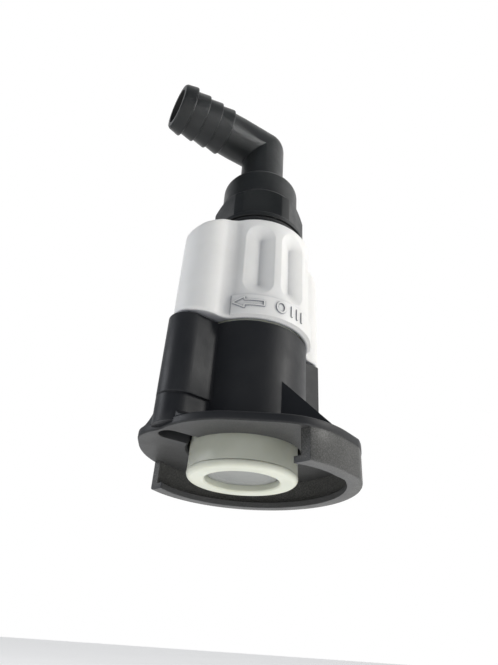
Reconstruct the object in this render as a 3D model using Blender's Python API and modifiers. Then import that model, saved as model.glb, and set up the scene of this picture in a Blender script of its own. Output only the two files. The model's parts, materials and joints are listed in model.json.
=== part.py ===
"""Slide-on container coupler with a twist collar and an elbow hose tail.

A claw-footed housing slides sideways over a container's neck. Turning the collar
drives two cam pins up or down a helical groove, so that the probe, which carries the
elbow, moves along the axis. A sprung valve disc closes the probe's mouth.

All dimensions are in millimetres and turned into metres by MM. Heights are given from
the parting plane between the collar and the housing; the empty at the end lifts the
whole part so that the origin is the centre of the valve disc's lower face.
"""
import math

import bmesh
import bpy
from mathutils import Matrix, Vector

MM = 0.001
GAP = 0.3                     # clearance kept between touching pieces
WELD = 0.00001                # merge distance of modifiers, in metres

# Driving dimensions, in mm
BODY_R = 20.9                 # round outside of the housing
BORE_R = 19.0                 # housing bore that the probe's head runs in
GUIDE_R = 18.4                # guide tube inside the collar, outside radius
GUIDE_BORE_R = 15.5           # guide tube bore, runs on the probe tube
GUIDE_TOP = 44.0
BORE_TOP = -9.0
PLATE_TOP = -37.5
PLATE_BOTTOM = -40.4
RIM_BOTTOM = -50.3
CLAW_R = 37.2                 # outside of the claw, about its own centre
CLAW_CENTRE = (1.9, 0.8)
CLAW_WALL = 3.0
LIP_DEPTH = 2.1               # how far the lip reaches in from the wall
LIP_TOP = -48.3
SLIDE_ANGLE = math.radians(-132.0)   # direction in which the claw's mouth faces
CLAW_END = 9.3                # claw ends this far past the axis, towards the mouth

EAR_ANGLE = math.radians(-143.0)     # front grip ear
EAR_HALF_WIDTH = 7.0
EAR_REACH = 34.8
EAR_LOW = -29.6               # below this the ear steps back to its foot
FOOT_ANGLE = math.radians(-146.0)
FOOT_HALF_WIDTH = 6.4
FOOT_REACH = 33.9
BACK_EAR_REACH = 28.6         # the opposite ear is short and square
FLARE_TOP = -30.2             # where the foot starts to widen into the plate
FLARE_WIDTH = 5.6
HOLLOW_ANGLE = math.radians(-149.0)  # pocket in the foot, open to the bore
HOLLOW_HALF_WIDTH = 3.8
HOLLOW_REACH = 31.0
HOLLOW_TOP = -31.0

WEB_START = (10.0, -17.6)     # stiffening web, in plan
WEB_END = (27.0, -22.6)
WEB_TOP = -20.2
WEB_THICKNESS = 1.8

COLLAR_R = 22.1
COLLAR_BORE_R = 18.9
COLLAR_BOTTOM = 0.6
COLLAR_TOP = 46.8
LOBE_R = 9.4                  # collar lobe's end
LOBE_DISTANCE = 24.1
BACK_LOBE_DISTANCE = 23.3
LOBE_ROOT_R = 5.7             # hollow between the lobe and the round part
LOBE_ANGLE = math.radians(-141.0)
BAND_TOP = 9.6                # raised marking band at the collar's foot
BAND_PROUD = 0.6
BAND_START = math.radians(-111.0)
BAND_END = math.radians(3.0)

RETAINER_LOW = 41.0           # snap ring that holds the collar on the guide tube
RETAINER_R = 17.5
FLUTE_ANGLES = [math.radians(angle) for angle in (-87.0, -50.0, -13.0, 93.0, 130.0, 167.0)]
FLUTE_Z = 27.0
FLUTE_SIZE = (2.9, 6.6, 16.8)        # half sizes: outwards, across, along

STROKE = 12.0                 # probe travel for a quarter turn of the collar
PIN_Z = 18.0
PIN_R = 2.0
GROOVE_R = PIN_R + 0.35
PIN_ANGLES = (math.radians(84.0), math.radians(264.0))
PIN_END_R = 18.3              # centre of the pin's round end
PROBE_R = 15.1
PROBE_BORE_R = 12.0
HEAD_R = 18.0
HEAD_TOP = -28.0
CHAMBER_R = 16.0
NOSE_R = 18.4
NOSE_TOP = -47.9
NOSE_BOTTOM = -50.0
NOSE_SPIGOT_TOP = -43.8
MOUTH_R = 12.4
DISC_R = 14.0
LOWER_RING_Z = -4.5           # O-rings between the probe tube and the housing
UPPER_RING_Z = 0.5
SPIGOT_RING_Z = 38.2          # O-ring between the elbow's spigot and the tube
VALVE_FACE = -47.7            # lower face of the valve disc: the part's origin
STEM_R = 2.5
SPRING_R = 8.0
SPRING_WIRE_R = 0.6
SPRING_TURNS = 5

FLANGE_R = 19.6               # lock ring and elbow flange
LOCK_LOW = 47.4
LOCK_HIGH = 50.1
ELBOW_FLANGE_BOTTOM = 51.4
ELBOW_FLANGE_TOP = 53.4
THREAD_R = 11.7               # elbow's threaded spigot in the tube's bore
SPIGOT_LOW = 35.0
HEX_TOP = 65.2                # flats run from the flange to here, then a chamfer
HEX_HALF = 17.8               # half across the flats
HEX_CORNER_R = 19.5
HEX_TURN = math.radians(3.0)
SHOULDER_LOW = 69.4
SHOULDER_TOP = 82.0
SHOULDER_R = 16.7
STUB_R = 10.0
FLOW_R = 7.8
TAIL_Z = 112.2
TAIL_ANGLE = math.radians(-150.3)
TAIL_LENGTH = 47.0
BARB_PITCH = 6.4
BARB_FIRST = 5.5              # from the open end to the first crest
BARB_COUNT = 4

ROUND_STEPS = 32              # facets round the large turned pieces
SMALL_STEPS = 16              # and round the spring guide

BLACK = (0.018, 0.019, 0.021)
WHITE = (0.80, 0.79, 0.76)
IVORY = (0.72, 0.74, 0.66)
GREY = (0.33, 0.33, 0.33)
STEEL = (0.55, 0.55, 0.56)
RUBBER = (0.012, 0.012, 0.012)

for old in list(bpy.data.objects):
    bpy.data.objects.remove(old, do_unlink=True)

PARTS = bpy.data.collections.new("slide_on_coupler")
CUTTERS = bpy.data.collections.new("cutters")
bpy.context.scene.collection.children.link(PARTS)
bpy.context.scene.collection.children.link(CUTTERS)


# ---------------------------------------------------------------- helpers
def material(name, colour, roughness, metallic=0.0):
    made = bpy.data.materials.new(name)
    made.use_nodes = True
    shader = made.node_tree.nodes["Principled BSDF"]
    shader.inputs["Base Color"].default_value = (*colour, 1.0)
    shader.inputs["Roughness"].default_value = roughness
    shader.inputs["Metallic"].default_value = metallic
    return made


def add_object(name, mesh, collection=PARTS):
    made = bpy.data.objects.new(name, mesh)
    collection.objects.link(made)
    return made


def from_bmesh(name, bm, collection=PARTS):
    bmesh.ops.recalc_face_normals(bm, faces=bm.faces)
    mesh = bpy.data.meshes.new(name)
    bm.to_mesh(mesh)
    bm.free()
    return add_object(name, mesh, collection)


def make_cutter(shape):
    for owner in list(shape.users_collection):
        owner.objects.unlink(shape)
    CUTTERS.objects.link(shape)
    shape.hide_render = True
    shape.display_type = "WIRE"
    return shape


def to_mesh(source, name, flat_caps=False):
    """Turns a curve, or an object with modifiers, into a plain mesh object."""
    bpy.context.view_layer.update()
    graph = bpy.context.evaluated_depsgraph_get()
    mesh = bpy.data.meshes.new_from_object(source.evaluated_get(graph))
    bm = bmesh.new()
    bm.from_mesh(mesh)
    bmesh.ops.remove_doubles(bm, verts=bm.verts, dist=WELD)
    if flat_caps:
        bmesh.ops.dissolve_limit(bm, angle_limit=math.radians(0.2), verts=bm.verts, edges=bm.edges)
    bmesh.ops.recalc_face_normals(bm, faces=bm.faces)
    bm.to_mesh(mesh)
    bm.free()
    place = source.matrix_world.copy()
    bpy.data.objects.remove(source, do_unlink=True)
    made = add_object(name, mesh)
    made.matrix_world = place
    return made


def turned(name, profile, steps=ROUND_STEPS):
    """Solid of revolution about Z from (radius, height) points, outer side going down."""
    mesh = bpy.data.meshes.new(name)
    points = [(radius * MM, 0.0, height * MM) for radius, height in profile]
    closed = profile[0][0] > 0.0
    count = len(points)
    edges = [(i, i + 1) for i in range(count - 1)]
    if closed:
        edges.append((count - 1, 0))
    mesh.from_pydata(points, edges, [])
    source = add_object(name + "_profile", mesh)
    screw = source.modifiers.new("turn", "SCREW")
    screw.steps = steps
    screw.render_steps = steps
    screw.use_merge_vertices = True
    screw.merge_threshold = WELD
    return to_mesh(source, name)


def ring(name, outer, inner, low, high, steps=ROUND_STEPS, bevel=0.0):
    """Plain turned ring with optional chamfers on its outer edges."""
    profile = [(outer - bevel, high), (outer, high - bevel), (outer, low + bevel), (outer - bevel, low)]
    if bevel == 0.0:
        profile = [(outer, high), (outer, low)]
    return turned(name, profile + [(inner, low), (inner, high)], steps)


def rod(name, radius, low, high, steps=ROUND_STEPS):
    return turned(name, [(0.0, high), (radius, high), (radius, low), (0.0, low)], steps)


def prism(name, outline, low, high, flat_caps=False):
    """Extruded flat outline, given as (x, y) points, between two heights."""
    curve = bpy.data.curves.new(name, "CURVE")
    curve.dimensions = "2D"
    curve.fill_mode = "BOTH"
    curve.extrude = (high - low) / 2 * MM
    spline = curve.splines.new("POLY")
    spline.points.add(len(outline) - 1)
    for point, (x, y) in zip(spline.points, outline):
        point.co = (x * MM, y * MM, 0.0, 1.0)
    spline.use_cyclic_u = True
    source = add_object(name + "_outline", curve)
    source.location.z = (high + low) / 2 * MM
    return to_mesh(source, name, flat_caps)


def box(name, size, centre, turn=0.0):
    bm = bmesh.new()
    bmesh.ops.create_cube(bm, size=1.0)
    place = Matrix.Translation(Vector(centre) * MM) @ Matrix.Rotation(turn, 4, "Z")
    bmesh.ops.transform(bm, matrix=place @ Matrix.Diagonal((*(Vector(size) * MM), 1.0)), verts=bm.verts)
    return from_bmesh(name, bm)


def radial_rod(name, radius, inner, outer, height, angle, sides=16):
    """Cylinder along a radius of the part."""
    bm = bmesh.new()
    bmesh.ops.create_cone(bm, cap_ends=True, segments=sides, radius1=radius * MM,
                          radius2=radius * MM, depth=(outer - inner) * MM)
    lay = Matrix.Rotation(math.pi / 2, 4, "Y")
    out = Matrix.Translation(((inner + outer) / 2 * MM, 0.0, height * MM))
    bmesh.ops.transform(bm, matrix=Matrix.Rotation(angle, 4, "Z") @ out @ lay, verts=bm.verts)
    return from_bmesh(name, bm)


def combine(target, tools, operation):
    """Joins tools to the target, or cuts them from it, one Boolean each."""
    for tool in tools:
        make_cutter(tool)
        step = target.modifiers.new(tool.name, "BOOLEAN")
        step.operation = operation
        step.object = tool
    return target


def bake(target):
    """Applies the modifiers, so that the shape can be used again."""
    return to_mesh(target, target.name)


def finish(target, finish_material, smooth_angle=35.0):
    target.data.materials.clear()
    target.data.materials.append(finish_material)
    target.data.shade_smooth()
    target.data.set_sharp_from_angle(angle=math.radians(smooth_angle))
    return target


def polar(radius, angle):
    return (radius * math.cos(angle), radius * math.sin(angle))


def arc(centre, radius, start, end, count):
    """Points on an arc, both ends included."""
    points = []
    for i in range(count):
        angle = start + (end - start) * i / (count - 1)
        points.append((centre[0] + radius * math.cos(angle), centre[1] + radius * math.sin(angle)))
    return points


# ---------------------------------------------------------------- outlines
def lobe_angles(distance):
    """Where the hollow root touches the round part, and where it touches the lobe."""
    to_root = COLLAR_R + LOBE_ROOT_R
    along = (to_root ** 2 - (LOBE_R + LOBE_ROOT_R) ** 2 + distance ** 2) / (2 * distance)
    across = math.sqrt(to_root ** 2 - along ** 2)
    return math.atan2(across, along), math.atan2(across, along - distance)


def lobed_outline():
    """Round collar with two opposite lobes, each blended in by a hollow root."""
    to_root = COLLAR_R + LOBE_ROOT_R
    lobes = [(LOBE_ANGLE, LOBE_DISTANCE), (LOBE_ANGLE + math.pi, BACK_LOBE_DISTANCE)]
    outline = []
    for index, (turn, distance) in enumerate(lobes):
        root_angle, lobe_side = lobe_angles(distance)
        last_end = turn - math.pi + lobe_angles(lobes[1 - index][1])[0]
        before = polar(to_root, turn - root_angle)
        after = polar(to_root, turn + root_angle)
        outline += arc((0.0, 0.0), COLLAR_R, last_end, turn - root_angle, 11)[1:-1]
        outline += arc(before, LOBE_ROOT_R, turn - root_angle + math.pi, turn + math.pi - lobe_side, 5)
        outline += arc(polar(distance, turn), LOBE_R, turn - lobe_side, turn + lobe_side, 10)[1:-1]
        outline += arc(after, LOBE_ROOT_R, turn + math.pi + lobe_side, turn + root_angle + math.pi, 5)
    return outline


def ear_outline(half_width, reach, angle, inner=8.0, corner=None):
    """Tongue that runs out from the axis; its end is a half circle or has small corners."""
    corner = corner or half_width
    side = half_width - corner
    low = arc((reach - corner, -side), corner, -math.pi / 2, 0.0, 6)
    high = arc((reach - corner, side), corner, 0.0, math.pi / 2, 6)
    if side == 0.0:
        high = high[1:]
    turn = Matrix.Rotation(angle, 2)
    return [tuple(turn @ Vector(point)) for point in [(inner, -half_width)] + low + high + [(inner, half_width)]]


def claw_outline(inset=0.0):
    """Outside of the plate and claw: a circle whose front is flattened."""
    radius = CLAW_R - inset
    back = arc(CLAW_CENTRE, radius, math.radians(-24.0), math.radians(187.0), 30)
    left = [(-34.5, -8.4), (-33.0, -11.8), (-30.2, -15.0)]
    front = arc((-2.4, -0.5), 29.7, math.radians(215.7), math.radians(268.0), 8)
    side = [(4.0, -30.5), (11.0, -30.6), (17.6, -29.6), (23.6, -26.7), (28.7, -22.6), (32.8, -18.0)]
    points = [Vector(point) for point in left + front + side]
    moved = [point - inset * (point - Vector(CLAW_CENTRE)).normalized() for point in points]
    return back + [tuple(point) for point in moved]


# ---------------------------------------------------------------- housing
def build_housing():
    """Claw-footed body, guide tube, ears and web, moulded in one."""
    body = turned("housing", [
        (0.0, GUIDE_TOP), (GUIDE_R - 0.4, GUIDE_TOP), (GUIDE_R, GUIDE_TOP - 0.4),
        (GUIDE_R, RETAINER_LOW + 1.8), (RETAINER_R, RETAINER_LOW + 1.8),
        (RETAINER_R, RETAINER_LOW - GAP), (GUIDE_R, RETAINER_LOW - GAP), (GUIDE_R, 0.0),
        (BODY_R - 0.5, 0.0), (BODY_R, -0.5), (BODY_R, PLATE_BOTTOM + 0.3), (0.0, PLATE_BOTTOM + 0.3)])
    ears = []
    front_ear = ear_outline(EAR_HALF_WIDTH, EAR_REACH, EAR_ANGLE, 17.5)
    foot = ear_outline(FOOT_HALF_WIDTH, FOOT_REACH, FOOT_ANGLE, 17.5)
    back_ear = ear_outline(EAR_HALF_WIDTH, BACK_EAR_REACH, FOOT_ANGLE + math.pi, 17.5, 1.0)
    ears.append(prism("front_ear", front_ear, EAR_LOW, -0.2))
    ears.append(prism("front_foot", foot, PLATE_BOTTOM + 1.4, EAR_LOW + 1.0))
    ears.append(prism("back_ear", back_ear, PLATE_BOTTOM + 1.4, -0.2))
    flare = combine(build_flare(), [prism("flare_limit", claw_outline(0.3), -60.0, 0.0)], "INTERSECT")
    flare = bake(flare)
    plate = prism("plate", claw_outline(), PLATE_BOTTOM, PLATE_TOP)
    claw = prism("claw", claw_outline(0.25), RIM_BOTTOM, PLATE_BOTTOM + 0.5)
    well = prism("claw_well", claw_outline(CLAW_WALL), LIP_TOP, PLATE_BOTTOM)
    mouth = prism("claw_mouth", claw_outline(CLAW_WALL + LIP_DEPTH), RIM_BOTTOM - 5.0, LIP_TOP + 1.0)
    front = box("claw_front", (60.0, 100.0, 40.0),
                (*polar(CLAW_END + 30.0, SLIDE_ANGLE), PLATE_BOTTOM - 20.0), SLIDE_ANGLE)
    claw = bake(combine(claw, [well, mouth, front], "DIFFERENCE"))

    web = build_web()
    wiper_seat = GUIDE_BORE_R + 1.3
    bore = turned("bore", [
        (0.0, GUIDE_TOP + 1.0), (GUIDE_BORE_R + 0.3, GUIDE_TOP + 1.0), (GUIDE_BORE_R + 0.3, GUIDE_TOP - 0.8),
        (wiper_seat, GUIDE_TOP - 0.8), (wiper_seat, GUIDE_TOP - 3.4), (GUIDE_BORE_R, GUIDE_TOP - 3.4),
        (GUIDE_BORE_R, BORE_TOP), (BORE_R, BORE_TOP), (BORE_R, PLATE_BOTTOM - 1.0), (0.0, PLATE_BOTTOM - 1.0)])
    pocket = ear_outline(HOLLOW_HALF_WIDTH, HOLLOW_REACH, HOLLOW_ANGLE, 12.0)
    hollow = prism("foot_pocket", pocket, PLATE_BOTTOM - 1.0, HOLLOW_TOP)
    slots = []
    for index, angle in enumerate(PIN_ANGLES):
        slots.append(box("pin_slot_%d" % index, (8.0, 2 * PIN_R + 0.4, STROKE + 2 * PIN_R + 0.8),
                         (*polar(17.0, angle), PIN_Z + STROKE / 2), angle))
    combine(body, ears + [flare, plate, claw, web], "UNION")
    combine(body, [bore, hollow] + slots, "DIFFERENCE")
    return finish(bake(body), black)


def build_flare():
    """Foot of the front ear, which widens in a hollow curve until it meets the plate."""
    count = 6
    low = PLATE_TOP - 0.4
    bm = bmesh.new()
    rings = []
    for i in range(count):
        drop = i / (count - 1)
        grow = FLARE_WIDTH * (1.0 - math.sqrt(1.0 - drop * drop))
        height = FLARE_TOP + (low - FLARE_TOP) * drop
        outline = ear_outline(FOOT_HALF_WIDTH - 0.5 + grow, FOOT_REACH - 0.5 + grow, FOOT_ANGLE, 18.0)
        rings.append([bm.verts.new((x * MM, y * MM, height * MM)) for x, y in outline])
    for above, below in zip(rings, rings[1:]):
        for k in range(len(above)):
            following = (k + 1) % len(above)
            bm.faces.new((above[k], above[following], below[following], below[k]))
    bm.faces.new(rings[0])
    bm.faces.new(rings[-1])
    return from_bmesh("flare", bm)


def build_web():
    """Triangular web that stiffens the plate against the body."""
    start = Vector((*WEB_START, 0.0))
    along = Vector((*WEB_END, 0.0)) - start
    length = along.length
    along.normalize()
    thickness = Vector((-along.y, along.x, 0.0)) * WEB_THICKNESS
    below = 1.2
    slope = length / (WEB_TOP - PLATE_TOP)
    outline = [(-3.0, WEB_TOP), (0.0, WEB_TOP), (length + below * slope, PLATE_TOP - below),
               (-3.0, PLATE_TOP - below)]
    bm = bmesh.new()
    near = []
    for distance, height in outline:
        near.append(bm.verts.new((start + along * distance + Vector((0.0, 0.0, height))) * MM))
    face = bm.faces.new(near)
    grown = bmesh.ops.extrude_face_region(bm, geom=[face])
    far = [item for item in grown["geom"] if isinstance(item, bmesh.types.BMVert)]
    bmesh.ops.translate(bm, verts=far, vec=thickness * MM)
    return from_bmesh("web", bm)


# ---------------------------------------------------------------- collar
def helix_groove(name, start):
    """Cam groove: one pin's path, seen from the collar, over a quarter turn."""
    curve = bpy.data.curves.new(name, "CURVE")
    curve.dimensions = "3D"
    curve.bevel_depth = GROOVE_R * MM
    curve.bevel_resolution = 2
    curve.use_fill_caps = True
    count = 14
    over = math.radians(6.0)
    spline = curve.splines.new("POLY")
    spline.points.add(count - 1)
    for i, point in enumerate(spline.points):
        turn = -over + (math.pi / 2 + 2 * over) * i / (count - 1)
        height = PIN_Z + STROKE * turn / (math.pi / 2)
        x, y = polar(PIN_END_R, start - turn)
        point.co = (x * MM, y * MM, height * MM, 1.0)
    return to_mesh(add_object(name + "_path", curve), name)


def build_collar():
    """Twist collar: two lobes, grip flutes, a marking band and the cam grooves."""
    collar = prism("collar", lobed_outline(), COLLAR_BOTTOM, COLLAR_TOP, flat_caps=True)
    edge = collar.modifiers.new("edges", "BEVEL")
    edge.width = 1.2 * MM
    edge.segments = 2
    edge.limit_method = "ANGLE"
    edge.angle_limit = math.radians(60.0)
    crown = turned("collar_crown", [
        (0.0, COLLAR_TOP + 1.0), (22.9, COLLAR_TOP + 1.0), (22.9, COLLAR_TOP - 0.2), (27.0, 44.4),
        (31.5, 41.4), (34.0, 38.2), (35.6, 33.0), (35.6, COLLAR_BOTTOM - 1.0), (0.0, COLLAR_BOTTOM - 1.0)])
    collar = bake(combine(bake(collar), [crown], "INTERSECT"))
    band = ring("marking_band", COLLAR_R + BAND_PROUD, COLLAR_R - 1.0, COLLAR_BOTTOM + 0.6, BAND_TOP)
    sector = [(0.0, 0.0)] + arc((0.0, 0.0), 40.0, BAND_START, BAND_END, 8)
    band = bake(combine(band, [prism("band_sector", sector, -5.0, 20.0)], "INTERSECT"))
    bore = turned("collar_bore", [
        (0.0, COLLAR_TOP + 1.0), (20.6, COLLAR_TOP + 1.0), (20.6, RETAINER_LOW - 0.5),
        (COLLAR_BORE_R, RETAINER_LOW - 0.5), (COLLAR_BORE_R, 1.9), (20.4, 1.9),
        (20.4, COLLAR_BOTTOM - 1.0), (0.0, COLLAR_BOTTOM - 1.0)])
    grooves = [helix_groove("cam_groove_%d" % i, angle) for i, angle in enumerate(PIN_ANGLES)]
    flutes = [build_flute("flute_%d" % i, angle) for i, angle in enumerate(FLUTE_ANGLES)]
    combine(collar, [bore] + grooves + flutes, "DIFFERENCE")
    combine(collar, [band], "UNION")
    return finish(bake(collar), white)


def build_flute(name, angle):
    """Elongated finger hollow in the collar's side."""
    bm = bmesh.new()
    bmesh.ops.create_uvsphere(bm, u_segments=12, v_segments=7, radius=1.0)
    size = Matrix.Diagonal((*(Vector(FLUTE_SIZE) * MM), 1.0))
    out = Matrix.Translation(((COLLAR_R + 0.9) * MM, 0.0, FLUTE_Z * MM))
    bmesh.ops.transform(bm, matrix=Matrix.Rotation(angle, 4, "Z") @ out @ size, verts=bm.verts)
    return from_bmesh(name, bm)


# ---------------------------------------------------------------- probe
def groove_profile(radius, height, depth=1.5, width=2.7):
    """Four profile points of a square groove, outer side going down."""
    half = width / 2
    return [(radius, height + half), (radius - depth, height + half),
            (radius - depth, height - half), (radius, height - half)]


def build_probe_tube():
    profile = [(PROBE_R - 0.3, 47.1), (PROBE_R, 46.8)]
    profile += groove_profile(PROBE_R, UPPER_RING_Z)
    profile += groove_profile(PROBE_R, LOWER_RING_Z)
    profile += [(PROBE_R, HEAD_TOP), (HEAD_R - 0.6, HEAD_TOP), (HEAD_R, HEAD_TOP - 0.6),
                (HEAD_R, NOSE_TOP + 0.3), (CHAMBER_R, NOSE_TOP + 0.3), (CHAMBER_R, -31.0),
                (PROBE_BORE_R, -31.0), (PROBE_BORE_R, 47.1)]
    tube = turned("probe_tube", profile)
    holes = [radial_rod("pin_hole_%d" % i, PIN_R + GAP, 12.9, 18.0, PIN_Z, angle)
             for i, angle in enumerate(PIN_ANGLES)]
    return finish(bake(combine(tube, holes, "DIFFERENCE")), ivory)


def build_nose_ring():
    """Screwed-in ring with the mouth that the valve disc closes."""
    seat = VALVE_FACE + 0.6
    round_off = arc((NOSE_R - 1.0, NOSE_BOTTOM + 1.0), 1.0, 0.0, -math.pi / 2, 4)
    profile = [(CHAMBER_R - GAP, NOSE_SPIGOT_TOP), (CHAMBER_R - GAP, -45.0), (14.9, -45.0), (14.9, -46.6),
               (CHAMBER_R - GAP, -46.6), (CHAMBER_R - GAP, NOSE_TOP), (NOSE_R - 0.3, NOSE_TOP)]
    profile += round_off
    profile += [(MOUTH_R + 0.5, NOSE_BOTTOM), (MOUTH_R, NOSE_BOTTOM + 0.5), (MOUTH_R, seat),
                (DISC_R + GAP, seat), (DISC_R + GAP, NOSE_SPIGOT_TOP)]
    return finish(turned("probe_nose_ring", profile), ivory)


def build_o_ring(name, centre_r, height, wire_r):
    section = arc((centre_r, height), wire_r, math.pi / 2, math.pi / 2 - 2 * math.pi, 7)[:-1]
    return finish(turned(name, section), rubber)


def build_cam_pin(name, angle):
    """Steel pin pressed into the tube, with a round end in the collar's groove."""
    end = [(0.0, PIN_END_R + PIN_R)] + arc((0.0, PIN_END_R), PIN_R, math.pi / 2, 0.0, 5)[1:]
    pin = turned(name, end + [(PIN_R, 13.5), (PIN_R - 0.3, 13.2), (0.0, 13.2)], 16)
    lay = Matrix.Rotation(angle, 4, "Z") @ Matrix.Rotation(math.pi / 2, 4, "Y")
    pin.matrix_world = Matrix.Translation((0.0, 0.0, PIN_Z * MM)) @ lay
    return finish(pin, steel)


def build_spring_guide():
    """Three-armed guide that centres the stem and holds the spring's upper end."""
    rim = ring("spring_guide", CHAMBER_R - GAP, 13.6, -33.6, -31.4, SMALL_STEPS)
    hub = ring("guide_hub", 4.6, STEM_R + GAP, -33.6, -26.0, 20)
    arms = [box("guide_arm_%d" % i, (10.6, 2.2, 2.2), (*polar(9.3, i * 2 * math.pi / 3), -32.5),
                i * 2 * math.pi / 3) for i in range(3)]
    seat = ring("guide_seat", SPRING_R + 1.2, SPRING_R - 1.2, -33.6, -32.0, 20)
    return finish(bake(combine(rim, [hub, seat] + arms, "UNION")), ivory)


def build_valve_spring():
    """Coil between the guide and the disc, with its wire ends just clear of both."""
    low = VALVE_FACE + 3.6 + SPRING_WIRE_R + GAP
    high = -33.6 - SPRING_WIRE_R - GAP
    curve = bpy.data.curves.new("valve_spring", "CURVE")
    curve.dimensions = "3D"
    curve.bevel_depth = SPRING_WIRE_R * MM
    curve.bevel_resolution = 2
    curve.use_fill_caps = True
    per_turn = 10
    count = SPRING_TURNS * per_turn
    spline = curve.splines.new("POLY")
    spline.points.add(count)
    for i, point in enumerate(spline.points):
        x, y = polar(SPRING_R, 2 * math.pi * i / per_turn)
        point.co = (x * MM, y * MM, (low + (high - low) * i / count) * MM, 1.0)
    return finish(to_mesh(add_object("valve_spring_path", curve), "valve_spring"), steel)


def build_valve():
    """Grey disc with its seal, and the stem that the spring guide steers."""
    top = VALVE_FACE + 3.6
    disc = turned("valve_disc", [
        (0.0, top), (DISC_R, top), (DISC_R, VALVE_FACE + 1.0 + GAP), (DISC_R - 0.4, VALVE_FACE + 1.0 + GAP),
        (DISC_R - 0.4, VALVE_FACE + 2.1), (MOUTH_R - GAP - 0.1, VALVE_FACE + 2.1),
        (MOUTH_R - GAP - 0.1, VALVE_FACE), (0.0, VALVE_FACE)])
    socket = rod("stem_socket", STEM_R + GAP, top - 1.6, top + 1.0, 16)
    finish(bake(combine(disc, [socket], "DIFFERENCE")), grey)
    build_o_ring("valve_seal", 12.95, VALVE_FACE + 1.35, 0.42)
    stem = turned("valve_stem", [
        (0.0, -18.0), (STEM_R - 0.4, -18.0), (STEM_R, -18.4), (STEM_R, -20.6), (STEM_R - 0.7, -20.6),
        (STEM_R - 0.7, -22.2), (STEM_R, -22.2), (STEM_R, top - 1.3), (0.0, top - 1.3)], 16)
    finish(stem, steel)
    clip = ring("stem_clip", 5.0, STEM_R - 0.7 + GAP, -21.9, -20.9, 16)
    gap = box("clip_gap", (8.0, 3.0, 4.0), (5.5, 0.0, -21.4))
    finish(bake(combine(clip, [gap], "DIFFERENCE")), steel)


def build_lock_ring():
    """Black ring and gasket that the elbow clamps against the tube's top."""
    profile = [(FLANGE_R - 0.4, LOCK_HIGH), (FLANGE_R, LOCK_HIGH - 0.4), (FLANGE_R, LOCK_LOW + 0.4),
               (FLANGE_R - 0.4, LOCK_LOW), (THREAD_R + 0.6, LOCK_LOW), (THREAD_R + 0.6, LOCK_HIGH)]
    finish(turned("elbow_lock_ring", profile), black)
    finish(ring("elbow_gasket", FLANGE_R - 0.6, THREAD_R + 0.6, LOCK_HIGH + GAP, ELBOW_FLANGE_BOTTOM - GAP), rubber)
    build_o_ring("elbow_o_ring", 11.12, SPIGOT_RING_Z, 0.7)


# ---------------------------------------------------------------- elbow
def hex_outline():
    """Hexagon with a flat facing the front, slightly turned."""
    corner = HEX_HALF / math.cos(math.pi / 6)
    return [polar(corner, HEX_TURN + i * math.pi / 3) for i in range(6)]


def build_hex():
    """Spanner flats whose upper corners are chamfered down to the shoulder."""
    flats = prism("hex", hex_outline(), ELBOW_FLANGE_TOP - 0.3, SHOULDER_LOW, True)
    cone = turned("hex_chamfer", [(0.0, SHOULDER_LOW + 1.0), (SHOULDER_R - 0.9, SHOULDER_LOW + 1.0),
                                  (HEX_CORNER_R, HEX_TOP), (HEX_CORNER_R, 40.0), (0.0, 40.0)])
    return bake(combine(flats, [cone], "INTERSECT"))


def build_elbow():
    """Threaded elbow with a hexagon, a round shoulder and a barbed hose tail."""
    round_off = arc((SHOULDER_R - 2.4, SHOULDER_TOP - 2.4), 2.4, math.pi / 2, 0.0, 5)
    profile = [(0.0, SHOULDER_TOP)] + round_off
    profile += [(SHOULDER_R, ELBOW_FLANGE_TOP), (FLANGE_R - 0.3, ELBOW_FLANGE_TOP),
                (FLANGE_R, ELBOW_FLANGE_TOP - 0.3), (FLANGE_R, ELBOW_FLANGE_BOTTOM), (THREAD_R, ELBOW_FLANGE_BOTTOM)]
    profile += groove_profile(THREAD_R, SPIGOT_RING_Z, 1.3, 2.1) + [(THREAD_R, SPIGOT_LOW), (0.0, SPIGOT_LOW)]
    elbow = turned("elbow", profile)
    corner = arc((0.0, TAIL_Z), STUB_R + 0.05, math.pi / 2, 0.0, 8)
    stub = turned("stub", corner + [(STUB_R, TAIL_Z), (STUB_R, SHOULDER_TOP - 4.0), (0.0, SHOULDER_TOP - 4.0)])

    tail_profile = [(0.0, TAIL_LENGTH), (9.6, TAIL_LENGTH), (10.4, TAIL_LENGTH - 0.6)]
    crest_r = [11.4, 10.9, 10.9, 10.9]
    for index in range(BARB_COUNT):
        crest = TAIL_LENGTH - BARB_FIRST - index * BARB_PITCH
        tail_profile += [(crest_r[index], crest + 0.5), (crest_r[index], crest), (9.9, crest - 0.5)]
    tail_profile += [(STUB_R + 0.1, TAIL_LENGTH - BARB_FIRST - BARB_COUNT * BARB_PITCH),
                     (STUB_R, -0.3), (0.0, -0.3)]
    tail = lay_tail(turned("tail", tail_profile))
    inner_corner = arc((0.0, TAIL_Z), FLOW_R + 0.05, math.pi / 2, 0.0, 7)
    bore_up = turned("flow_up", inner_corner + [(FLOW_R, TAIL_Z), (FLOW_R, 30.0), (0.0, 30.0)], 24)
    bore_out = lay_tail(rod("flow_out", FLOW_R, -0.3, TAIL_LENGTH + 2.0, 24))
    combine(elbow, [build_hex(), stub, tail], "UNION")
    combine(elbow, [bore_up, bore_out], "DIFFERENCE")
    return finish(bake(elbow), black)


def lay_tail(piece):
    """Lays a shape built along Z onto the hose tail's axis."""
    piece.matrix_world = (Matrix.Translation((0.0, 0.0, TAIL_Z * MM))
                          @ Matrix.Rotation(TAIL_ANGLE, 4, "Z") @ Matrix.Rotation(math.pi / 2, 4, "Y"))
    return piece


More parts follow.
